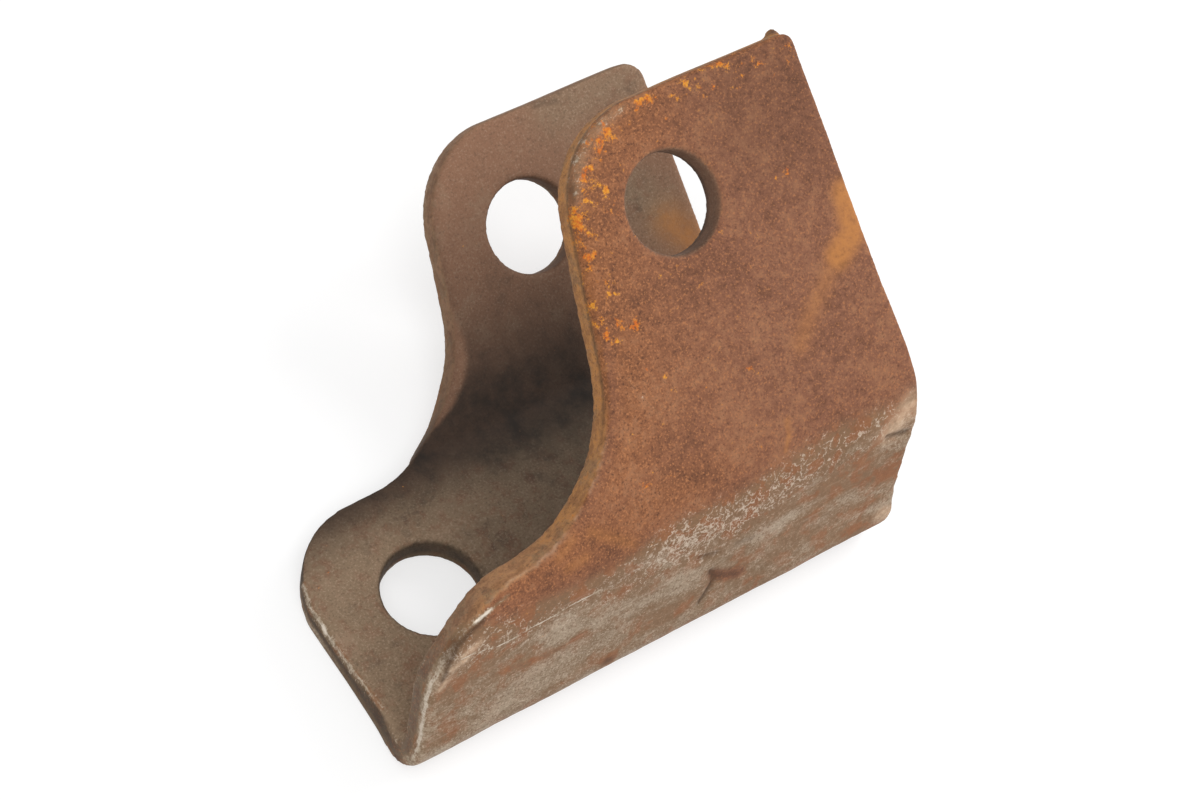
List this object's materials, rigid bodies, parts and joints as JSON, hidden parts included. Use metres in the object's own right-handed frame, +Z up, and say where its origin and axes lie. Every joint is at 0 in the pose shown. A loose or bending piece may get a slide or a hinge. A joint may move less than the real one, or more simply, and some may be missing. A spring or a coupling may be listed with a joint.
{
  "type": "shock absorber bracket",
  "caption": "Folded sheet-steel bracket, rusted and worn: parallel ears hold a shock absorber's eye on a cross bolt, and a drilled foot bolts to a frame.",
  "frame": {"origin": "centre of the fixing hole, on the foot's outer face", "axes": "+X to the front along the folds, +Y across the foot from the short ear to the web, +Z up out of the foot"},
  "size_m": [0.0765, 0.0713, 0.0578],
  "materials": {
    "rusted_steel": "dry brown rust with orange flecks, rubbed to grey steel along the soft fold and the web"
  },
  "bodies": {
    "root": {"bracket": "rusted_steel"}
  },
  "joints": []
}
